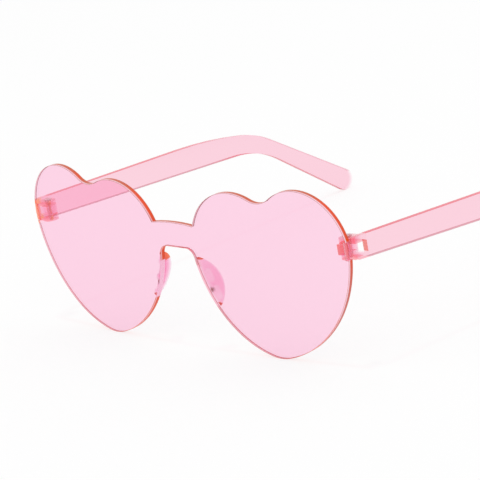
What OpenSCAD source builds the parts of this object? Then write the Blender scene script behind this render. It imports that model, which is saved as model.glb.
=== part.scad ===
// Rimless sunglasses: one bent lens cut as two hearts, with fork hinges, plain temples and nose pads.
// Origin on the surface that they stand on, below the middle of the whole object.
// +X is the wearer's left, -Y is the way the wearer looks, +Z is up.

/* [Hearts] */
// Distance from the nose line to the tip of each heart
tip_offset = 39; // [37:0.5:41]
// Radius of the lobe beside the nose
inner_lobe_r = 19.8; // [18.8:0.2:20.8]
// Distance from the tip towards the nose of that lobe's centre
inner_lobe_in = 11.4; // [10.6:0.2:12.2]
// Height of that lobe's centre above the tip
inner_lobe_up = 31.9; // [31:0.1:33]
// Radius of the lobe beside the temple
outer_lobe_r = 18.2; // [17.4:0.2:19.2]
// Distance from the tip towards the temple of that lobe's centre
outer_lobe_out = 15.8; // [14.8:0.2:16.8]
// Height of that lobe's centre above the tip
outer_lobe_up = 35.7; // [34.5:0.1:37]
// Radius of the rounded tip
tip_r = 15.6; // [10:0.2:17]
// Radius of the long side beside the nose
inner_side_r = 37; // [34:0.5:50]
// Radius of the long side beside the temple
outer_side_r = 39.3; // [36:0.5:55]
// Radius of the hollow between the two lobes
cleft_r = 9; // [6:0.5:12]

/* [Lens] */
// Thickness of the lens sheet
lens_t = 1.8; // [1.6:0.1:2.4]
// Radius that the front of the lens is bent to, about a vertical line
bend_r = 611; // [450:1:900]
// Height of the middle of the bridge's top edge
bridge_top = 40.3; // [38.5:0.1:42]
// Rise of that edge from the hearts to the middle
bridge_crown = 0.6; // [0.3:0.1:1.5]
// Height of the bridge's lower edge
bridge_bottom = 32.3; // [31:0.1:34]
// Radius where the lower edge turns down into the hearts
arch_r = 3.4; // [2:0.1:4.5]

/* [Temples] */
// Height of a temple at its hinge
temple_h = 7.1; // [6.6:0.1:7.8]
// Thickness of a temple
temple_t = 2; // [1.6:0.1:2.6]
// Length of the straight arm, from the hinge's axis to the ear bend
arm_len = 84.6; // [70:0.2:100]
// Angle at which the arm's lower edge slopes down
arm_drop = 3.8; // [2:0.1:6]
// Angle at which the arm opens backwards
arm_flare_angle = 1.1; // [0.6:0.1:1.5]
// Angle at which the ear piece slopes down
ear_drop = 34; // [30:1:38]
// Angle at which the ear piece opens backwards
ear_flare_angle = 3.4; // [2:0.1:4]
// Radius of the ear bend, on the middle of the ear piece
ear_bend_r = 42; // [34:1:50]
// Height of the ear piece at its rounded tip
ear_h = 7.3; // [6.4:0.1:7.8]
// Radius of the top edge's long shoulder, as a share of the ear bend's
shoulder_share = 4.4; // [4:0.1:5]
// Radius of the top edge's tight bend, as a share of the ear bend's
top_bend_share = 0.92; // [0.8:0.02:1]
// Reach of the ear piece's straight top edge over the ear bend, as a share of its radius
top_reach_share = 0.1; // [0.06:0.01:0.14]
// Angle at which each temple runs outwards
splay = 2.4; // [0:0.1:4]

/* [Hinges] */
// Radius of the hinge barrels
barrel_r = 2.4; // [2.1:0.1:2.6]
// Height of the gap between the two knuckles of a temple
fork_gap = 3.5; // [3:0.1:3.8]
// Distance from the lens's outer edge in to the hinge's axis
axis_inset = 3.4; // [3.1:0.1:3.8]
// Distance that a temple's outer face stands outside the lens's edge
temple_proud = 1.4; // [1:0.1:1.6]
// Height of the hinge's middle above the centre of the outer lobe
hinge_up = 0.5; // [0:0.1:1.5]
// Height of the middle of the temple's end above the hinge's middle
temple_up = 0.3; // [0:0.1:0.5]
// Clearance between the lens's back and the front of a temple
front_gap = 0.4; // [0.35:0.05:0.6]
// Clearance above and below the end piece's knuckle
knuckle_gap = 0.1; // [0.08:0.01:0.2]
// Radius of a hinge screw's shank
screw_r = 0.7; // [0.5:0.05:0.9]
// Clearance round the shank
screw_clearance = 0.05; // [0.02:0.01:0.1]
// Radius of a hinge screw's head
screw_head_r = 1.1; // [1:0.05:1.2]
// Height of a hinge screw's head
screw_head_h = 0.5; // [0.4:0.05:0.7]

/* [End pieces] */
// Distance that the foot behind the lens reaches in from the hinge's axis
foot_in = 1.6; // [1.2:0.1:2.4]
// Distance that the foot runs back past the axis
foot_back = 0.3; // [0:0.1:0.6]
// Height of the lug that fills the notch in the lens's edge
lug_h = 5.4; // [4.6:0.1:6]
// Depth of the lug in the lens's edge
lug_w = 1.2; // [1:0.1:2]
// Thickness of the adhesive round what is bonded to the lens
glue_gap = 0.05; // [0.03:0.01:0.1]

/* [Nose pads] */
// Length of a pad's straight back along the lens's edge
pad_len = 17.6; // [14:0.2:20]
// Distance that a pad stands back from its straight edge
pad_deep = 5; // [4:0.1:6]
// Thickness of a pad at its thickest
pad_t = 2.5; // [2.2:0.1:3]
// Radius that the face against the nose is crowned to
pad_crown_r = 27; // [24:1:40]
// Angle at which a pad opens backwards
pad_flare = 24; // [15:1:32]
// Angle between a pad's straight edge and the vertical
pad_lean = 25; // [20:1:30]
// Height of a pad's middle
pad_mid_z = 21.3; // [19:0.1:23]
// Distance that a pad stands out of the lens's edge towards the nose
pad_proud = 0.3; // [0.2:0.1:0.6]
// Depth of the two pockets on a pad's hidden side
pocket_deep = 1; // [0.6:0.1:1.3]
// Width of those pockets
pocket_w = 1.9; // [1.4:0.1:2.2]
// Length of each pocket as a share of the pad's length
pocket_share = 0.26; // [0.2:0.01:0.28]
// Distance of the pockets' middle line from the pad's straight edge
pocket_back = 1.8; // [1.6:0.1:2.2]
// Width of the rib between the pockets
pocket_rib = 1.2; // [0.8:0.1:1.6]
// Distance of the rib below the pad's middle
rib_down = 1.2; // [0:0.1:1.4]

/* [Hidden] */

// Step between the points of an arc, in degrees
arc_step = 3;
// Facets of a small circle and of the lens's bend
small_fn = 48;
bend_fn = 256;
// Overrun of a cut past the face that it goes through
cut = 1;
// Radius of the corners at the front of a temple
corner_r = 0.9;
// Clearance between a temple's fork and the barrel in it
fork_clearance = 0.3;
// Distance that each barrel stops short of a temple's edges
barrel_short = 0.3;
// Driver slot in a screw's head
slot_w = 0.3;
slot_deep = 0.25;

// Points on an arc about c, from angle a0 to angle a1
function arc(c, r, a0, a1) =
    let (n = ceil(abs(a1 - a0) / arc_step))
    [for (i = [0:n]) c + r * [cos(a0 + (a1 - a0) * i / n), sin(a0 + (a1 - a0) * i / n)]];

// Direction from p to q
function bearing(p, q) = atan2(q[1] - p[1], q[0] - p[0]);

// The point at distance dp from p and dq from q, on the side that side gives
function apex(p, dp, q, dq, side) =
    let (
        d = norm(q - p),
        e = (q - p) / d,
        along = (dp * dp - dq * dq + d * d) / (2 * d),
        off = sqrt(dp * dp - along * along)
    )
    p + along * e + side * off * [-e[1], e[0]];

function mirrored(points) = [for (i = [len(points) - 1:-1:0]) [-points[i][0], points[i][1]]];

// The heart's circles, in the plane of the lens, as [across, up]
inner_lobe = [tip_offset - inner_lobe_in, inner_lobe_up];
outer_lobe = [tip_offset + outer_lobe_out, outer_lobe_up];
tip = [tip_offset, tip_r];
inner_side = apex(inner_lobe, inner_side_r - inner_lobe_r, tip, inner_side_r - tip_r, 1);
outer_side = apex(outer_lobe, outer_side_r - outer_lobe_r, tip, outer_side_r - tip_r, -1);
cleft = apex(inner_lobe, inner_lobe_r + cleft_r, outer_lobe, outer_lobe_r + cleft_r, 1);

// Where the bridge's top edge meets the inner lobe, and the circle of its crown
corner_rise = bridge_top - bridge_crown - inner_lobe_up;
corner_run = sqrt(inner_lobe_r * inner_lobe_r - corner_rise * corner_rise);
corner = inner_lobe + [-corner_run, corner_rise];
crown_r = (corner[0] * corner[0] + bridge_crown * bridge_crown) / (2 * bridge_crown);
crown = [0, bridge_top - crown_r];

// The fillet between the bridge's lower edge and the inner lobe
arch_z = bridge_bottom - arch_r;
arch_reach = inner_lobe_r + arch_r;
arch_run = sqrt(arch_reach * arch_reach - (inner_lobe_up - arch_z) * (inner_lobe_up - arch_z));
arch = [inner_lobe[0] - arch_run, arch_z];

half_outline = concat(
    arc(crown, crown_r, 90, bearing(crown, corner)),
    arc(inner_lobe, inner_lobe_r, bearing(inner_lobe, corner), bearing(inner_lobe, cleft)),
    arc(cleft, cleft_r, bearing(cleft, inner_lobe), bearing(cleft, outer_lobe)),
    arc(outer_lobe, outer_lobe_r, bearing(outer_lobe, cleft), bearing(outer_side, outer_lobe)),
    arc(outer_side, outer_side_r, bearing(outer_side, outer_lobe), bearing(outer_side, tip)),
    arc(tip, tip_r, bearing(outer_side, tip), bearing(inner_side, tip)),
    arc(inner_side, inner_side_r, bearing(inner_side, tip), bearing(inner_side, inner_lobe)),
    arc(inner_lobe, inner_lobe_r, bearing(inner_side, inner_lobe), bearing(inner_lobe, arch)),
    arc(arch, arch_r, bearing(arch, inner_lobe), 90)
);

// How far back the bent face that lies inset behind the lens's front is, at x from the nose line
function face_y(x, inset) = bend_r - sqrt((bend_r - inset) * (bend_r - inset) - x * x);

// The hinge: its axis, and the temple's plate measured from it
hinge_z = outer_lobe_up + hinge_up;
edge_x = outer_lobe[0] + sqrt(outer_lobe_r * outer_lobe_r - hinge_up * hinge_up);
axis_x = edge_x - axis_inset;
axis_y = face_y(axis_x, lens_t) + front_gap + barrel_r;
plate_out = axis_inset + temple_proud;
plate_in = plate_out - temple_t;
plate_front = axis_y - face_y(edge_x, lens_t) - front_gap - plate_out * sin(splay);
fork_end = barrel_r + fork_clearance;
bore_r = screw_r + screw_clearance;
barrel_top = temple_h / 2 - barrel_short;

// Directions along and square to an edge that slopes down backwards, as [back, up]
function along(slope) = [cos(slope), -sin(slope)];
function square_to(slope) = [sin(slope), cos(slope)];

// Centre of the arc of radius r that runs into two edges: p with slope a, then q with slope b
function bend_centre(p, a, q, b, r) =
    let (w = q - p - r * (square_to(b) - square_to(a)))
    p - r * square_to(a) + along(a) * (w * square_to(b)) / (along(a) * square_to(b));

// The temple's guide line, from the hinge's axis: arm, ear bend and the middle of the ear piece
ear_r = ear_h / 2;
bend_to = arm_len * along(arm_drop) + ear_bend_r * (square_to(ear_drop) - square_to(arm_drop));
ear_len = (hinge_z + temple_up + bend_to[1] - ear_r) / sin(ear_drop);
ear_tip = bend_to + ear_len * along(ear_drop);

// Slopes of the edges, and the lower edge's bend
arm_top_drop = arm_drop - arm_flare_angle;
ear_top_drop = ear_drop - ear_flare_angle / 2;
ear_low_drop = ear_drop + ear_flare_angle / 2;
low_bend_r = ear_bend_r - ear_r;
arm_low = [0, -temple_h / 2];
ear_low = ear_tip - ear_r * square_to(ear_low_drop);
low_bend = bend_centre(arm_low, arm_drop, ear_low, ear_low_drop, low_bend_r);

// The top edge: a tight bend that runs into the ear piece, and the long shoulder before it
top_bend_r = top_bend_share * ear_bend_r;
shoulder_r = shoulder_share * ear_bend_r;
ear_top_len = ear_len + top_reach_share * ear_bend_r;
top_bend = ear_tip - ear_top_len * along(ear_top_drop) + (ear_r - top_bend_r) * square_to(ear_top_drop);
arm_top = [0, temple_h / 2] - shoulder_r * square_to(arm_top_drop);
to_bend = top_bend - arm_top;
bend_off = to_bend * square_to(arm_top_drop);
bend_gap = shoulder_r - top_bend_r;
arm_top_len = to_bend * along(arm_top_drop) - sqrt(bend_gap * bend_gap - bend_off * bend_off);
shoulder = arm_top + arm_top_len * along(arm_top_drop);
shoulder_drop = 90 - bearing(shoulder, top_bend);

temple_outline = concat(
    arc([corner_r - plate_front, temple_h / 2 - corner_r], corner_r, 180, 90 - arm_top_drop),
    arc(shoulder, shoulder_r, 90 - arm_top_drop, 90 - shoulder_drop),
    arc(top_bend, top_bend_r, 90 - shoulder_drop, 90 - ear_top_drop),
    arc(ear_tip, ear_r, 90 - ear_top_drop, -90 - ear_low_drop),
    arc(low_bend, low_bend_r, 90 - ear_low_drop, 90 - arm_drop),
    arc([corner_r - plate_front, corner_r - temple_h / 2], corner_r, -90 - arm_drop, -180)
);

// Depth of the whole object, from the bridge's front to the tips of the ear pieces
depth = axis_y + (ear_tip[0] + ear_r) * cos(splay) - plate_in * sin(splay);

// The point of the nose edge that a pad's middle sits on
pad_run = sqrt(inner_side_r * inner_side_r - (inner_side[1] - pad_mid_z) * (inner_side[1] - pad_mid_z));
pad_x = inner_side[0] - pad_run;
pad_rim_r = (pad_len * pad_len / 4 + pad_deep * pad_deep) / (2 * pad_deep);
pocket_len = pad_len * pocket_share;

// One side of the object: 1 is the wearer's left, -1 the right
module on_side(side) {
    translate([0, -depth / 2, 0])
        mirror([side < 0 ? 1 : 0, 0, 0])
            children();
}

module at_hinge() {
    translate([axis_x, axis_y, hinge_z]) children();
}

// A tall disc whose rim is the bent face that lies inset behind the lens's front
module bend_disc(inset, z_from, z_to) {
    translate([0, bend_r, z_from])
        cylinder(r = bend_r - inset, h = z_to - z_from, $fn = bend_fn);
}

// All that lies behind the plane that touches such a face at x, with the adhesive between
module behind_face(x, inset) {
    reach = 2 * edge_x;
    translate([x, face_y(x, inset), 0])
        rotate([0, 0, asin(x / (bend_r - inset))])
            translate([-reach / 2, glue_gap, 0])
                cube(reach);
}

// The outline of both hearts and the bridge, straight through from the front to reach
module heart_prism(reach) {
    translate([0, reach, 0])
        rotate([90, 0, 0])
            linear_extrude(reach + cut)
                polygon(concat(half_outline, mirrored(half_outline)));
}

module lens() {
    z_top = outer_lobe_up + outer_lobe_r + cut;
    color([1, 0.8, 0.9, 0.6])
        translate([0, -depth / 2, 0])
            difference() {
                intersection() {
                    heart_prism(face_y(edge_x, lens_t) + cut);
                    difference() {
                        bend_disc(0, -cut, z_top);
                        bend_disc(lens_t, -2 * cut, z_top + cut);
                    }
                }
                for (side = [-1, 1]) lens_notch(side);
            }
}

module lens_notch(side) {
    w = lug_w + glue_gap;
    h = lug_h + 2 * glue_gap;
    translate([side * (edge_x - w / 2 + cut / 2), 0, hinge_z])
        cube([w + cut, 4 * face_y(edge_x, lens_t), h], center = true);
}

module end_piece() {
    knuckle_h = fork_gap - 2 * knuckle_gap;
    color([1, 0.6, 0.75])
        difference() {
            union() {
                at_hinge() cylinder(r = barrel_r, h = knuckle_h, center = true, $fn = small_fn);
                intersection() {
                    at_hinge() {
                        // The foot behind the lens, and the neck that joins it to the lug
                        translate([-foot_in, -2 * barrel_r, -knuckle_h / 2])
                            cube([foot_in, 2 * barrel_r + foot_back, knuckle_h]);
                        translate([0, -2 * barrel_r, -knuckle_h / 2])
                            cube([plate_out, 2 * barrel_r - barrel_r / 2, knuckle_h]);
                    }
                    heart_prism(axis_y + barrel_r);
                    behind_face(axis_x, lens_t);
                }
                lug();
            }
            at_hinge() cylinder(r = bore_r, h = knuckle_h + cut, center = true, $fn = small_fn);
        }
}

// Fills the notch in the lens's edge, flush with the edge and a little below its front
module lug() {
    intersection() {
        translate([edge_x - lug_w, 0, hinge_z - lug_h / 2])
            cube([2 * lug_w, face_y(edge_x, lens_t) + front_gap / 2, lug_h]);
        heart_prism(axis_y);
        behind_face(edge_x - lug_w / 2, 0);
    }
}

module temple() {
    color([1, 0.75, 0.86, 0.8])
        at_hinge()
            rotate([0, 0, -splay])
                difference() {
                    union() {
                        translate([plate_in, 0, temple_up])
                            rotate([90, 0, 90])
                                linear_extrude(temple_t)
                                    polygon(temple_outline);
                        cylinder(r = barrel_r, h = 2 * barrel_top, center = true, $fn = small_fn);
                        translate([0, -plate_front, -barrel_top])
                            cube([plate_in + temple_t / 2, plate_front + barrel_r, 2 * barrel_top]);
                    }
                    translate([-barrel_r - cut, -barrel_r - cut, -fork_gap / 2])
                        cube([plate_out + barrel_r + 2 * cut, fork_end + barrel_r + cut, fork_gap]);
                    cylinder(r = bore_r, h = temple_h + cut, center = true, $fn = small_fn);
                }
}

module hinge_screw() {
    color([0.45, 0.45, 0.47])
        at_hinge()
            difference() {
                union() {
                    translate([0, 0, -barrel_top])
                        cylinder(r = screw_r, h = 2 * barrel_top + screw_head_h / 2, $fn = small_fn);
                    translate([0, 0, barrel_top])
                        cylinder(r = screw_head_r, h = screw_head_h, $fn = small_fn);
                }
                translate([0, 0, barrel_top + screw_head_h])
                    cube([2 * screw_head_r + cut, slot_w, 2 * slot_deep], center = true);
            }
}

// A pad's pocket, cut square to its flat hidden side
module pocket(from) {
    r = pocket_w / 2;
    translate([0, 0, from + r]) rotate([0, 90, 0]) cylinder(r = r, h = pad_t, $fn = small_fn);
    translate([0, 0, from + pocket_len - r]) rotate([0, 90, 0]) cylinder(r = r, h = pad_t, $fn = small_fn);
    translate([0, -r, from + r]) cube([pad_t, 2 * r, pocket_len - 2 * r]);
}

module nose_pad() {
    color([1, 0.68, 0.82, 0.85])
        intersection() {
            translate([pad_x - pad_proud, face_y(pad_x, lens_t), pad_mid_z])
                rotate([0, -pad_lean, 0])
                    rotate([0, 0, -pad_flare])
                        difference() {
                            intersection() {
                                // The rim's curve, the crown against the nose and the flat hidden side
                                translate([0, pad_deep - pad_rim_r, 0])
                                    rotate([0, 90, 0])
                                        cylinder(r = pad_rim_r, h = pad_t, $fn = bend_fn);
                                translate([pad_crown_r, pad_deep / 2, 0])
                                    sphere(r = pad_crown_r, $fn = bend_fn);
                            }
                            translate([pad_t - pocket_deep, pocket_back, -rib_down]) {
                                pocket(pocket_rib / 2);
                                pocket(-pocket_rib / 2 - pocket_len);
                            }
                        }
            behind_face(pad_x, lens_t);
        }
}

lens();
on_side(1) end_piece();  // end_piece_left
on_side(-1) end_piece();  // end_piece_right
on_side(1) temple();  // temple_left
on_side(-1) temple();  // temple_right
on_side(1) hinge_screw();  // hinge_screw_left
on_side(-1) hinge_screw();  // hinge_screw_right
on_side(1) nose_pad();  // nose_pad_left
on_side(-1) nose_pad();  // nose_pad_right
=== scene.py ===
"""Heart shaped sunglasses of clear tinted plastic, dressed round their packed construction model."""
from math import cos, log, radians, sin, sqrt

import bpy
from mathutils import Matrix, Vector


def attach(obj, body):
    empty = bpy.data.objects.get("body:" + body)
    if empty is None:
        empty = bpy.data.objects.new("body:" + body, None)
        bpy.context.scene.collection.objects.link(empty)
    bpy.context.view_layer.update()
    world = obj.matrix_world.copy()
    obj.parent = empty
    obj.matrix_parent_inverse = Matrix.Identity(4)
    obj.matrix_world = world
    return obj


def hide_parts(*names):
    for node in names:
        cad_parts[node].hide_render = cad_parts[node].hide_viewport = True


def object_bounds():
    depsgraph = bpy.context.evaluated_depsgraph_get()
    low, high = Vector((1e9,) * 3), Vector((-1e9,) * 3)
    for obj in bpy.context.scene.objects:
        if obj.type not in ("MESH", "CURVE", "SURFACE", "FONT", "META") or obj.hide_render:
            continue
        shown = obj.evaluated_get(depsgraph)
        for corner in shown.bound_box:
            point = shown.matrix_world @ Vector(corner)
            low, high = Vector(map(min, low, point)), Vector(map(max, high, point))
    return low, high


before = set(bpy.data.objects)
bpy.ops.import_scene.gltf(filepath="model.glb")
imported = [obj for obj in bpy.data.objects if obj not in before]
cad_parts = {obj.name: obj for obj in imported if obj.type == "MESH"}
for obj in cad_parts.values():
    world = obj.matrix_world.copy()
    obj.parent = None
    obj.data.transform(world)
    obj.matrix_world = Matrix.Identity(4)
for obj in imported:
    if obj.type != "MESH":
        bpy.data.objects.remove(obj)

CAD_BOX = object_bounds()
MM = 0.001

# A reach is measured from the middle to either side, a height from the ground,
# and a place from front to back. A pair is where a change begins and where it is whole.

# The lens, one bent sheet
LENS_FRONT = CAD_BOX[0].y
LENS_THICKNESS = 1.8 * MM
LENS_BEND_RADIUS = 611 * MM
LENS_STRIP = 4 * MM
LENS_ARRIS = 0.14 * MM
LENS_SMOOTHING = radians(20)
# Where the edge's painted glow turns duller, low on its outer side
OUTER_REACH = (52 * MM, 66 * MM)
LOW_HEIGHT = (36 * MM, 22 * MM)

# The notch in each outer edge, and the edge near it, tinted with the lug's painted orange glow seen
# through it
NOTCH_REACH = 71 * MM
NOTCH_FOOT = 33.4 * MM
NOTCH_TOP = 39 * MM
LUG_LIGHT_REACH = NOTCH_REACH - 2 * MM
LUG_LIGHT_FOOT = NOTCH_FOOT - 1 * MM
LUG_LIGHT_TOP = NOTCH_TOP + 1 * MM

# The edge that the nose pads are bonded to
BOND_REACH = 14.5 * MM
BOND_FOOT = (14 * MM, 15 * MM)
BOND_TOP = (27.4 * MM, 27 * MM)

# The temples: the fork's gap with its rounded rims, and the changes from hinge to tip
TEMPLE_THICKNESS = 2 * MM
TEMPLE_ROUNDING = 0.3 * MM
TEMPLE_WAVES = 0.004 * MM
GAP_RIM = 0.6 * MM
GAP_FOOT = 34.45 * MM - GAP_RIM
GAP_TOP = 37.95 * MM + GAP_RIM
GAP_WALL = LENS_FRONT + 10 * MM
HINGE_END = (LENS_FRONT + 11.5 * MM, LENS_FRONT + 11.1 * MM)
FORK_END = (LENS_FRONT + 10.5 * MM, LENS_FRONT + 8.5 * MM)
# Where the painted rose along the upper edge fades backwards
TOP_FADING = (-20 * MM, 40 * MM)
EAR_PIECE = (5 * MM, 25 * MM)
EAR_TIP = (50 * MM, 60 * MM)

# The end pieces and their screws
HINGE_ROUNDING = 0.12 * MM
HINGE_WAVES = 0.01 * MM
HINGE_THICKNESS = 3 * MM
LUG_SIDE = 72.4 * MM
FOOT_END = 68.15 * MM
FOOT_UNDERSIDE_END = FOOT_END + 1.5 * MM
LOOKS_OUTWARDS = (20 * MM, 50 * MM)
SCREW_ROUNDING = 0.08 * MM
SCREW_HEAD = (39.35 * MM, 39.45 * MM)

# The nose pads: their lit ends, and the rib between their pockets with its painted shade
PAD_THICKNESS = 2 * MM
PAD_ROUNDING = 0.4 * MM
PAD_GRAIN = 0.006 * MM
PAD_CAP = (26.3 * MM, 26.9 * MM)
PAD_TOP_TIP = (28.7 * MM, 29 * MM)
PAD_LOW_TIP = (15.7 * MM, 15.3 * MM)
PAD_TIP_DEPTH = (LENS_FRONT + 2.9 * MM, LENS_FRONT + 2.6 * MM)
PAD_RIB = (12.4 * MM, LENS_FRONT + 2 * MM, 19.5 * MM)
PAD_RIB_SHADE = 1.3 * MM
LOOKS_TO_NOSE = (0, -2 * MM)

# How meshes are cleaned and rounded
MERGED = 0.001 * MM
STRIPS_MERGED = 0.02 * MM
FLAT_ANGLE = radians(0.5)
SHARP_ANGLE = radians(40)
MOULDED_SMOOTHING = radians(30)
SAME_WAY = 0.95
ROUNDING_STEPS = ((0.29, 0.71), (0.71, 0.29))

# How much a face looks along the lens: less is the cut edge, more the polished faces
CUT_FACING = 0.3
POLISHED_FACING = 0.985

# Glass-like surfaces
WHITE = (1.0, 1.0, 1.0, 1.0)
SHADOW_TINT = (0.96, 0.96, 0.96, 1.0)
LENS_IOR = 1.5
GLOSS_IOR = 1.45
SOLID_IOR = 1.4

# The room
FLOOR_SIZE = 8
PAPER = (0.93, 0.93, 0.93, 1.0)
FLOOR_SEEN_WHITE = 0.78
ROOM_LIGHT = 0.85
LAMP_PLACE = (0, LENS_FRONT + 3 * MM, 1.5)
LAMP_SIZE = 0.1
LAMP_WATTS = 4.5

# The photograph's camera
CAMERA_AIM = Vector((3.72 * MM, LENS_FRONT + 22.71 * MM, 27.65 * MM))
CAMERA_DISTANCE = 1052.6 * MM
CAMERA_AZIMUTH = radians(50.217)
CAMERA_ELEVATION = radians(15.485)
CAMERA_ROLL = radians(-10.422)
CAMERA_LENS = 254.4
CAMERA_SIGHT = 20


# Modelling

def deselect():
    if bpy.context.object and bpy.context.object.mode != "OBJECT":
        bpy.ops.object.mode_set(mode="OBJECT")
    bpy.ops.object.select_all(action="DESELECT")


def select_only(piece):
    deselect()
    bpy.context.view_layer.objects.active = piece
    piece.select_set(True)


def edit(piece, kind="FACE"):
    """Opens a piece in edit mode with nothing selected."""
    select_only(piece)
    bpy.ops.object.mode_set(mode="EDIT")
    bpy.ops.mesh.select_mode(type=kind)
    bpy.ops.mesh.select_all(action="DESELECT")


def pick_faces(piece, wanted):
    """Selects the faces of the piece in edit mode that wanted says yes to."""
    bpy.ops.mesh.select_mode(type="FACE")
    bpy.ops.mesh.select_all(action="DESELECT")
    bpy.ops.object.mode_set(mode="OBJECT")
    for face in piece.data.polygons:
        face.select = wanted(face)
    bpy.ops.object.mode_set(mode="EDIT")


def finish_edit(piece):
    bpy.ops.object.mode_set(mode="OBJECT")
    piece.select_set(False)
    return piece


def smooth(piece, angle):
    select_only(piece)
    bpy.ops.object.shade_smooth_by_angle(angle=angle)


def copy_of_node(node, name):
    """A merged copy of a construction node, free to be shaped."""
    deselect()
    piece = bpy.data.objects.new(name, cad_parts[node].data.copy())
    bpy.context.scene.collection.objects.link(piece)
    piece.data.materials.clear()
    edit(piece, "VERT")
    bpy.ops.mesh.select_all(action="SELECT")
    bpy.ops.mesh.remove_doubles(threshold=MERGED)
    return finish_edit(piece)


def softened(node, name, rounding):
    """A copy of a construction node with whole flat faces and every sharp edge rounded."""
    piece = copy_of_node(node, name)
    edit(piece, "EDGE")
    bpy.ops.mesh.select_all(action="SELECT")
    bpy.ops.mesh.dissolve_limited(angle_limit=FLAT_ANGLE)
    bpy.ops.mesh.select_all(action="DESELECT")
    bpy.ops.mesh.edges_select_sharp(sharpness=SHARP_ANGLE)
    bpy.ops.mesh.bevel(offset=rounding, segments=3, affect="EDGES", clamp_overlap=True)
    finish_edit(piece)
    smooth(piece, MOULDED_SMOOTHING)
    return piece


def directed_edges(face):
    corners = list(face.vertices)
    return zip(corners, corners[1:] + corners[:1])


def rim_of_node(node, facing):
    """The closed rim of the face of a node that looks along facing, as points in order."""
    copy = copy_of_node(node, "rim_of_" + node)
    kept = [face for face in copy.data.polygons if face.normal.dot(facing) > SAME_WAY]
    edges = {tuple(edge) for face in kept for edge in directed_edges(face)}
    after = {start: end for start, end in edges if (end, start) not in edges}
    point = next(iter(after))
    rim = []
    while after:
        rim.append(copy.data.vertices[point].co.copy())
        point = after.pop(point)
    bpy.data.objects.remove(copy)
    return rim


def plate_from_rim(name, rim):
    """A flat plate with that rim: a filled circle whose points are moved onto the rim."""
    deselect()
    bpy.ops.mesh.primitive_circle_add(vertices=len(rim), fill_type="NGON")
    plate = bpy.context.object
    plate.name = name
    for vertex, point in zip(plate.data.vertices, rim):
        vertex.co = point
    return plate


def cut_in_strips(plate, reach, width):
    """Cuts a plate upright from -reach to reach into strips of about that width."""
    edit(plate)
    steps = int(2 * reach / width)
    for step in range(1, steps):
        bpy.ops.mesh.select_all(action="SELECT")
        across = -reach + 2 * reach * step / steps
        bpy.ops.mesh.bisect(plane_co=(across, 0, 0), plane_no=(1, 0, 0))
    bpy.ops.mesh.select_all(action="SELECT")
    bpy.ops.mesh.remove_doubles(threshold=STRIPS_MERGED)
    finish_edit(plate)


def thicken(plate, facing, thickness, rounding):
    """Extrudes a flat plate against facing and rounds both its rims in two steps."""
    edit(plate)
    bpy.ops.mesh.select_all(action="SELECT")
    bpy.ops.mesh.normals_make_consistent(inside=False)
    bpy.ops.transform.translate(value=-facing * rounding)
    bpy.ops.mesh.extrude_region_move(
        TRANSFORM_OT_translate={"value": -facing * (thickness - 2 * rounding)})
    bpy.ops.mesh.select_all(action="SELECT")
    bpy.ops.mesh.normals_make_consistent(inside=False)
    for way in (1, -1):
        pick_faces(plate, lambda face: way * face.normal.dot(facing) > SAME_WAY)
        for across, up in ROUNDING_STEPS:
            bpy.ops.mesh.inset(thickness=across * rounding, depth=up * rounding)
    finish_edit(plate)


def bend(sheet, radius):
    """Bends an upright sheet backwards about a vertical line, its front on LENS_FRONT."""
    for vertex in sheet.data.vertices:
        across, depth = vertex.co.x, vertex.co.y
        turn = across / radius
        level = sqrt(1 - turn ** 2)
        vertex.co.x = across - depth * turn
        vertex.co.y = LENS_FRONT + radius * (1 - level) + depth * level


def fit(piece, material, body, node):
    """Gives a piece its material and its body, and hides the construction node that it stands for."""
    piece.data.materials.append(material)
    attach(piece, body)
    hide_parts(node)


# Shader nodes

class Value:
    """One output of a shader node. Sums and comparisons on it add Math nodes."""

    def __init__(self, paint, output):
        self.paint = paint
        self.output = output

    def maths(self, operation, *values):
        inputs = dict(enumerate(values))
        return self.paint.node("ShaderNodeMath", {"operation": operation}, inputs)

    def __add__(self, other):
        return self.maths("ADD", self, other)

    def __sub__(self, other):
        return self.maths("SUBTRACT", self, other)

    def __rsub__(self, other):
        return self.maths("SUBTRACT", other, self)

    def __mul__(self, other):
        return self.maths("MULTIPLY", self, other)

    def __truediv__(self, other):
        return self.maths("DIVIDE", self, other)

    def __abs__(self):
        return self.maths("ABSOLUTE", self)

    def __gt__(self, other):
        return self.maths("GREATER_THAN", self, other)

    def __lt__(self, other):
        return self.maths("LESS_THAN", self, other)

    __radd__ = __add__
    __rmul__ = __mul__

    def between(self, low, high):
        return (self > low) * (self < high)

    def ramp(self, start, end):
        """0 at start and 1 at end, smooth between, whichever of them is larger."""
        settings = {"interpolation_type": "SMOOTHSTEP"}
        inputs = {"Value": self, "From Min": start, "From Max": end}
        return self.paint.node("ShaderNodeMapRange", settings, inputs)

    def part(self, axis):
        return self.paint.node("ShaderNodeSeparateXYZ", {}, {"Vector": self}, axis)


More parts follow.
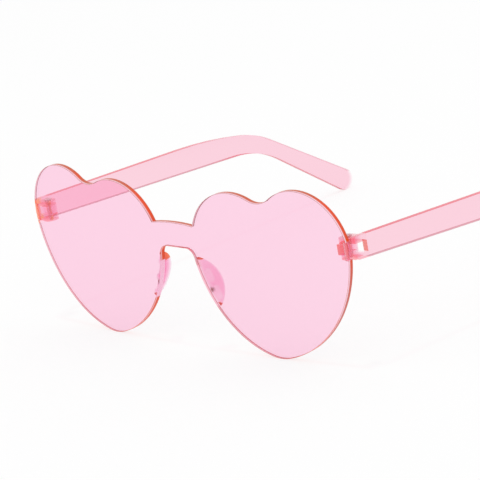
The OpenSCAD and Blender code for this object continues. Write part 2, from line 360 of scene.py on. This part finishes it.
class Paint:
    """The node tree of a material or of the world."""

    def __init__(self, owner):
        self.owner = owner
        owner.use_nodes = True
        self.tree = owner.node_tree
        self.tree.nodes.clear()

    def node(self, kind, settings, inputs, output=0):
        """Adds a node, with its settings first, and gives one of its outputs."""
        node = self.tree.nodes.new(kind)
        for name, value in settings.items():
            setattr(node, name, value)
        for name, value in inputs.items():
            if isinstance(value, Value):
                self.tree.links.new(value.output, node.inputs[name])
            else:
                node.inputs[name].default_value = value
        return Value(self, node.outputs[output]) if len(node.outputs) else None

    def place(self):
        return self.node("ShaderNodeTexCoord", {}, {}, "Object")

    def facing(self):
        """The way the surface looks, also where it is seen from inside."""
        inputs = {
            "Vector": self.node("ShaderNodeTexCoord", {}, {}, "Normal"),
            "Scale": 1 - 2 * self.inside()}
        return self.node("ShaderNodeVectorMath", {"operation": "SCALE"}, inputs)

    def inside(self):
        """1 where the surface is seen from within the piece."""
        return self.node("ShaderNodeNewGeometry", {}, {}, "Backfacing")

    def outwards(self):
        """A point's reach times how squarely it looks outwards, below 0 towards the nose."""
        return self.facing().part("X") * self.place().part("X")

    def near(self, point, distance):
        """1 at a point of either side, falling to 0 at that distance from it."""
        place = self.place()
        here = {"X": abs(place.part("X")), "Y": place.part("Y"), "Z": place.part("Z")}
        inputs = {0: self.node("ShaderNodeCombineXYZ", {}, here), 1: point}
        away = self.node("ShaderNodeVectorMath", {"operation": "DISTANCE"}, inputs, "Value")
        return away.ramp(distance, 0)

    def ray_is(self, *kinds):
        """1 for a ray of any of those kinds."""
        total = 0.0
        for kind in kinds:
            total = total + self.node("ShaderNodeLightPath", {}, {}, "Is %s Ray" % kind)
        return total

    def noise(self, scale, detail=2.0):
        inputs = {"Vector": self.place(), "Scale": scale, "Detail": detail}
        return self.node("ShaderNodeTexNoise", {}, inputs, "Fac")

    def bump(self, height, depth):
        inputs = {"Height": height, "Strength": 1.0, "Distance": depth}
        return self.node("ShaderNodeBump", {}, inputs)

    def colours(self, colour, *layers):
        """Lays colours over a colour one after another, each with its share before it."""
        for share, layer in layers:
            inputs = {0: share, 6: colour, 7: layer}
            colour = self.node("ShaderNodeMix", {"data_type": "RGBA"}, inputs, 2)
        return colour

    def layers(self, surface, *layers):
        """Lays shaders over a surface one after another, each with its share before it."""
        for share, layer in layers:
            surface = self.node("ShaderNodeMixShader", {}, {0: share, 1: surface, 2: layer})
        return surface

    def principled(self, **inputs):
        named = {name.replace("_", " "): value for name, value in inputs.items()}
        return self.node("ShaderNodeBsdfPrincipled", {}, named)

    def solid(self, colour, roughness=0.3):
        """Plastic that light doesn't pass, for faces that glow with the light led to them."""
        return self.principled(Base_Color=colour, Roughness=roughness, IOR=SOLID_IOR)

    def clear(self, tint=WHITE):
        return self.node("ShaderNodeBsdfTransparent", {}, {"Color": tint})

    def lit_through(self, colour):
        """A glowing face, half clear tint and half solid colour."""
        return self.layers(self.clear(colour), (0.5, self.solid(colour, 0.35)))

    def glazed(self, roughness, bump):
        """Clear plastic too thin to bend what is seen through it, with a glossy skin."""
        skin = self.principled(Base_Color=WHITE, Metallic=1.0, Roughness=roughness, Normal=bump)
        share = self.node("ShaderNodeFresnel", {}, {"IOR": GLOSS_IOR, "Normal": bump})
        return self.layers(self.clear(), (share * (1 - self.inside()), skin))

    def absorb(self, seen, thickness):
        """The absorption that gives a white ground the colour seen through that thickness."""
        taken = [-log(share) / thickness for share in seen[:3]]
        density = max(taken)
        colour = tuple(1 - share / density for share in taken) + (1.0,)
        inputs = {"Color": colour, "Density": density}
        return self.node("ShaderNodeVolumeAbsorption", {}, inputs)

    def clear_plastic(self, surface, seen, thickness):
        """The finished material: its shadow is tinted and not black, and its depth colours it."""
        surface = self.layers(surface, (self.ray_is("Shadow"), self.clear(SHADOW_TINT)))
        return self.output(Surface=surface, Volume=self.absorb(seen, thickness))

    def output(self, kind="Material", **inputs):
        self.node("ShaderNodeOutput" + kind, {}, inputs)
        return self.owner


def seen_colour(red, green, blue):
    """A colour as it looks, given in 0 to 255, as the linear colour of a socket."""
    def channel(value):
        value /= 255
        return value / 12.92 if value <= 0.04045 else ((value + 0.055) / 1.055) ** 2.4
    return (channel(red), channel(green), channel(blue), 1.0)


# The lens's material

class LensZones:
    """The zones of the lens, each 1 within it, with how far it looks up and the share of its depth."""

    def __init__(self, paint):
        facing = paint.facing()
        facing_front = abs(facing.part("Y"))
        self.cut = facing_front < CUT_FACING
        self.arris = facing_front.between(CUT_FACING, POLISHED_FACING)
        self.up = facing.part("Z")
        self.inside = paint.inside()
        self.outside = 1 - self.inside
        place = paint.place()
        across = abs(place.part("X"))
        height = place.part("Z")
        bent_back = across * across / (2 * LENS_BEND_RADIUS)
        self.depth = (place.part("Y") - LENS_FRONT - bent_back) / LENS_THICKNESS
        self.outer = across.ramp(*OUTER_REACH)
        self.low = height.ramp(*LOW_HEIGHT)
        self.bonded = (across < BOND_REACH) * height.ramp(*BOND_FOOT) * height.ramp(*BOND_TOP)
        self.notch = (across > NOTCH_REACH) * height.between(NOTCH_FOOT, NOTCH_TOP)
        self.by_lug = (across > LUG_LIGHT_REACH) * height.between(LUG_LIGHT_FOOT, LUG_LIGHT_TOP)


def cut_edge(paint, zones):
    """The cut edge, painted with the glow of light led through the sheet: orange, with a painted
    highlight pale along its front, painted shade brown where it looks up, a duller painted glow low on
    the outer side, pink where another piece is bonded to it, and in the notch pink with a painted
    orange glow at its back.
    """
    glow_orange = seen_colour(236, 92, 48)
    deep_glow_orange = seen_colour(230, 76, 30)
    shade_brown = seen_colour(198, 88, 54)
    dull_glow_red = seen_colour(204, 104, 96)
    highlight_pink = seen_colour(252, 214, 230)
    bonded_pink = seen_colour(255, 198, 224)
    notch_pink = seen_colour(255, 206, 230)
    notch_glow_orange = seen_colour(236, 122, 96)
    grain = 0.9 + 0.2 * paint.noise(1500.0, 3.0)
    # Painted light: the glow, deeper towards the back, with painted shade where it looks up and a
    # painted highlight along its front
    glow = paint.colours(
        glow_orange,
        (zones.depth.ramp(0.1, 0.6) * grain, deep_glow_orange),
        (zones.up.ramp(0.75, 1), shade_brown),
        (zones.outer * zones.low * 0.8, dull_glow_red),
        (zones.depth.ramp(0.4, 0.15) * (0.7 + 0.3 * zones.outer), highlight_pink),
        (zones.bonded, bonded_pink),
        (zones.notch, paint.colours(notch_pink, (zones.depth.ramp(0.8, 0.88), notch_glow_orange))))
    return paint.solid(glow, 0.35)


def arris_line(paint, zones):
    """The lines along the arrises, painted: brown shade where they look up, orange glow where they
    look down, and a pale painted highlight on the front where light meets them.
    """
    shade_brown = seen_colour(182, 90, 66)
    glow_orange = seen_colour(240, 122, 88)
    highlight_pink = seen_colour(252, 214, 230)
    # Painted shade, glow and highlight, chosen by the way each arris looks
    line = paint.colours(
        shade_brown,
        (zones.up.ramp(0.3, -0.3), glow_orange),
        (zones.up.ramp(0.35, 0.6) * (zones.depth < 0.5), highlight_pink))
    return paint.solid(line, 0.4)


def lens_plastic():
    """The lens: polished sheet with a cut edge painted glowing, between two thin arrises painted with
    lines of light and shade.
    """
    paint = Paint(bpy.data.materials.new("lens_plastic"))
    zones = LensZones(paint)
    polished = paint.principled(
        Base_Color=WHITE, Roughness=0.0, IOR=LENS_IOR, Transmission_Weight=1.0)
    edge = cut_edge(paint, zones)
    line = arris_line(paint, zones)
    # Seen from within, the cut edge is a pale pink tint with the painted arris lines over it, and near
    # the lug a painted orange glow of the lug seen through it
    far_wall = paint.clear(seen_colour(250, 206, 214))
    far_wall_lug_glow = paint.clear(seen_colour(255, 176, 140))
    far_wall_lined = (0.35 - 0.2 * zones.outer) * (1 - zones.bonded)
    surface = paint.layers(
        polished,
        (zones.cut * zones.outside, edge),
        (zones.cut * zones.inside, far_wall),
        (zones.cut * zones.inside * far_wall_lined, line),
        (zones.cut * zones.inside * zones.by_lug, far_wall_lug_glow),
        (zones.arris * (1 - zones.by_lug * zones.inside) * 0.9, line),
        (zones.arris * zones.outside * zones.bonded, edge))
    return paint.clear_plastic(surface, seen_colour(254, 218.4, 235), LENS_THICKNESS)


# The temples' material

class TempleZones:
    """The zones of a temple, each 1 within it, with how far it looks up and its place."""

    def __init__(self, paint):
        facing = paint.facing()
        backwards = facing.part("Y")
        self.up = facing.part("Z")
        self.above = self.up.ramp(0.1, 0.5)
        self.below = self.up.ramp(-0.2, -0.6)
        self.inside = paint.inside()
        self.outside = 1 - self.inside
        place = paint.place()
        self.back = place.part("Y")
        self.hinge_end = self.back.ramp(*HINGE_END)
        self.in_gap = place.part("Z").between(GAP_FOOT, GAP_TOP)
        self.gap_wall = self.in_gap * (self.back > GAP_WALL)
        self.front = backwards.ramp(-0.3, -0.7) * self.hinge_end * self.outside
        self.fork_side = paint.outwards().ramp(*LOOKS_OUTWARDS) * self.back.ramp(*FORK_END)
        self.tip_end = self.back.ramp(*EAR_TIP) * backwards.ramp(-0.35, 0) * self.up.ramp(0.75, 0.5)
        ear_edge = self.back.ramp(*EAR_PIECE) * abs(facing.part("X")).ramp(0.8, 0.5)
        self.ear_edge = ear_edge * (1 - self.tip_end)


def temple_painted_edges(paint, zones, surface):
    """Lays painted light and shade over the temple's edges: a deeper rose line along the upper edge
    that fades backwards, a greyed painted shade along the lower edge, and round the ear piece a rose
    painted darker where it looks down.
    """
    painted_edge_rose = seen_colour(230, 94, 112)
    painted_edge_pale_rose = seen_colour(234, 166, 182)
    underside_shade_rose = seen_colour(206, 146, 156)
    ear_shade_rose = seen_colour(234, 118, 132)
    ear_lit_pink = seen_colour(246, 190, 204)
    upper = paint.colours(painted_edge_rose, (zones.back.ramp(*TOP_FADING), painted_edge_pale_rose))
    ear = paint.colours(ear_shade_rose, (zones.up.ramp(-0.7, 0.5), ear_lit_pink))
    upper_share = zones.outside * (1 - zones.hinge_end * zones.in_gap) * (1 - 0.55 * zones.hinge_end)
    lower_share = (1 - zones.hinge_end) * (1 - zones.tip_end)
    ear_share = zones.ear_edge * (0.9 - 0.4 * zones.up.ramp(0, 0.5))
    return paint.layers(
        surface,
        (zones.above * upper_share * 0.95, paint.solid(upper)),
        (zones.below * lower_share * 0.75, paint.solid(underside_shade_rose)),
        (ear_share, paint.solid(ear)))


def temple_hinge_end(paint, zones, surface):
    """Lays the light that the hinge end leads over its underside, outer side and front."""
    pink = paint.clear(seen_colour(255, 208, 212))
    yellow = paint.clear(seen_colour(255, 228, 150))
    near_white = paint.clear(seen_colour(255, 236, 232))
    salmon = paint.lit_through(seen_colour(255, 172, 162))
    return paint.layers(
        surface,
        (zones.below * zones.hinge_end * zones.inside, pink),
        (zones.fork_side * zones.inside, yellow),
        (zones.front, near_white),
        (zones.front * zones.gap_wall, salmon))


def temple_plastic():
    """The temples: clear moulding with painted light: a deeper pink along its edges and an orange glow
    at its hinge end.
    """
    paint = Paint(bpy.data.materials.new("temple_plastic"))
    zones = TempleZones(paint)
    waves = paint.bump(paint.noise(180.0), TEMPLE_WAVES)
    marks = paint.noise(2400.0, 4.0).ramp(0.45, 0.75)
    hinge_pink = paint.solid(seen_colour(255, 165, 185))
    surface = paint.glazed(0.03 + 0.05 * marks, waves)
    surface = paint.layers(surface, (zones.hinge_end * zones.outside * 0.1, hinge_pink))
    # Painted light and shade along the edges, then the hinge end's painted glow
    surface = temple_painted_edges(paint, zones, surface)
    surface = temple_hinge_end(paint, zones, surface)
    return paint.clear_plastic(surface, seen_colour(253, 221, 231), TEMPLE_THICKNESS)


# The small pieces' materials

def hinge_plastic():
    """The end pieces: a deeper pink moulding whose ends glow through it, painted as orange tints at
    the foot and the lug, with a painted deeper pink where the underside is seen from within.
    """
    paint = Paint(bpy.data.materials.new("hinge_plastic"))
    inside = paint.inside()
    across = abs(paint.place().part("X"))
    downwards = paint.facing().part("Z").ramp(-0.4, -0.8)
    lug_side = paint.outwards().ramp(*LOOKS_OUTWARDS) * (across > LUG_SIDE)
    milky_pink = paint.solid(seen_colour(255, 170, 205))
    underside_painted_pink = paint.clear(seen_colour(252, 150, 168))
    foot_glow_orange = paint.clear(seen_colour(250, 150, 134))
    lug_glow_orange = paint.clear(seen_colour(255, 160, 120))
    surface = paint.layers(
        paint.glazed(0.06, paint.bump(paint.noise(600.0), HINGE_WAVES)),
        ((1 - inside) * 0.1, milky_pink),
        (downwards * inside * (across < FOOT_UNDERSIDE_END), underside_painted_pink),
        ((across < FOOT_END) * inside, foot_glow_orange),
        (lug_side * inside, lug_glow_orange))
    return paint.clear_plastic(surface, seen_colour(255, 208, 224), HINGE_THICKNESS)


def pad_plastic():
    """The nose pads: softer clear plastic with a satin skin, a painted orange glow at both ends and a
    painted shade on the rib between the pockets.
    """
    paint = Paint(bpy.data.materials.new("pad_plastic"))
    outside = 1 - paint.inside()
    place = paint.place()
    height = place.part("Z")
    cap = height.ramp(*PAD_CAP) * paint.outwards().ramp(*LOOKS_TO_NOSE)
    tips = height.ramp(*PAD_LOW_TIP) + height.ramp(*PAD_TOP_TIP)
    milky_pink = paint.solid(seen_colour(255, 200, 222), 0.35)
    glow_orange = paint.lit_through(seen_colour(250, 132, 84))
    shade_brown = paint.solid(seen_colour(160, 80, 62), 0.35)
    surface = paint.layers(
        paint.glazed(0.2, paint.bump(paint.noise(3000.0, 3.0), PAD_GRAIN)),
        (outside * 0.12, milky_pink),
        # Painted glow on the cap and the tips, and painted shade on the rib
        (cap * outside, glow_orange),
        (tips * place.part("Y").ramp(*PAD_TIP_DEPTH), glow_orange),
        (paint.near(PAD_RIB, PAD_RIB_SHADE) * outside, shade_brown))
    return paint.clear_plastic(surface, seen_colour(254, 208, 230), PAD_THICKNESS)


def screw_steel():
    """The screws: brushed steel tinted with a painted pink reflection of the plastic round it, and
    painted brighter below the head, where plastic surrounds it.
    """
    paint = Paint(bpy.data.materials.new("screw_steel"))
    head = paint.place().part("Z").ramp(*SCREW_HEAD)
    # Painted reflection: pink steel, brighter below the head
    steel = paint.colours(seen_colour(252, 236, 240), (head, seen_colour(224, 190, 192)))
    brushed = 0.2 + 0.15 * paint.noise(3000.0, 3.0)
    return paint.output(Surface=paint.principled(Base_Color=steel, Metallic=1.0, Roughness=brushed))


# Pieces

def heart_lens():
    """The bent sheet: the construction lens's rim cut flat, given its thickness and bent back."""
    front = Vector((0, -1, 0))
    flat = [Vector((point.x, 0, point.z)) for point in rim_of_node("lens", front)]
    lens = plate_from_rim("heart_lens", flat)
    cut_in_strips(lens, max(point.x for point in flat), LENS_STRIP)
    thicken(lens, front, LENS_THICKNESS, LENS_ARRIS)
    bend(lens, LENS_BEND_RADIUS)
    smooth(lens, LENS_SMOOTHING)
    return lens


def moulded_pieces():
    """The pieces of both sides, each a rounded copy of its construction node."""
    temple, hinge, screw, pad = temple_plastic(), hinge_plastic(), screw_steel(), pad_plastic()
    for side in ("left", "right"):
        arm = side + "_temple"
        for node, name, rounding, material, body, slot in (
                ("temple_", "moulded_temple_", TEMPLE_ROUNDING, temple, arm, "temple_plastic"),
                ("end_piece_", "glued_end_piece_", HINGE_ROUNDING, hinge, "front", "hinge_plastic"),
                ("hinge_screw_", "slotted_screw_", SCREW_ROUNDING, screw, arm, "screw_steel"),
                ("nose_pad_", "soft_nose_pad_", PAD_ROUNDING, pad, "front", "pad_plastic")):
            piece = softened(node + side, name + side, rounding)
            fit(piece, material, body, node + side)


# The room

def paper_floor():
    """A pale floor that is nearly white as it is seen and still keeps its shadows."""
    deselect()
    bpy.ops.mesh.primitive_plane_add(size=FLOOR_SIZE)
    floor = bpy.context.object
    floor.name = "floor"
    paint = Paint(bpy.data.materials.new("floor_paper"))
    paper = paint.principled(Base_Color=PAPER, Roughness=0.9)
    white = paint.node("ShaderNodeEmission", {}, {"Color": WHITE, "Strength": 1.0})
    seen = paint.ray_is("Camera", "Glossy", "Transmission") > 0.5
    surface = paint.layers(paper, (seen * FLOOR_SEEN_WHITE, white))
    floor.data.materials.append(paint.output(Surface=surface))


def white_world():
    """A world that is white where it is seen and gives soft light from all round."""
    world = bpy.data.worlds.new("studio")
    bpy.context.scene.world = world
    paint = Paint(world)
    seen = paint.ray_is("Camera", "Glossy", "Transmission")
    inputs = {"Value": seen, "To Min": ROOM_LIGHT, "To Max": 1.0}
    strength = paint.node("ShaderNodeMapRange", {}, inputs)
    white = paint.node("ShaderNodeBackground", {}, {"Color": WHITE, "Strength": strength})
    paint.output("World", Surface=white)


def overhead_lamp():
    deselect()
    bpy.ops.object.light_add(type="AREA", location=LAMP_PLACE)
    lamp = bpy.context.object
    lamp.name = "overhead_softbox"
    lamp.data.shape = "SQUARE"
    lamp.data.size = LAMP_SIZE
    lamp.data.energy = LAMP_WATTS


def camera():
    back = Vector((
        sin(CAMERA_AZIMUTH) * cos(CAMERA_ELEVATION),
        -cos(CAMERA_AZIMUTH) * cos(CAMERA_ELEVATION),
        sin(CAMERA_ELEVATION)))
    data = bpy.data.cameras.new("photo_camera")
    data.lens = CAMERA_LENS
    data.clip_end = CAMERA_SIGHT
    seer = bpy.data.objects.new("photo_camera", data)
    seer.location = CAMERA_AIM + back * CAMERA_DISTANCE
    turn = back.to_track_quat("Z", "Y").to_matrix()
    seer.rotation_euler = (turn @ Matrix.Rotation(CAMERA_ROLL, 3, "Z")).to_euler()
    bpy.context.scene.collection.objects.link(seer)
    bpy.context.scene.camera = seer


def main():
    camera()
    paper_floor()
    white_world()
    overhead_lamp()
    fit(heart_lens(), lens_plastic(), "front", "lens")
    moulded_pieces()
    bpy.context.scene.view_settings.view_transform = "Standard"


main()
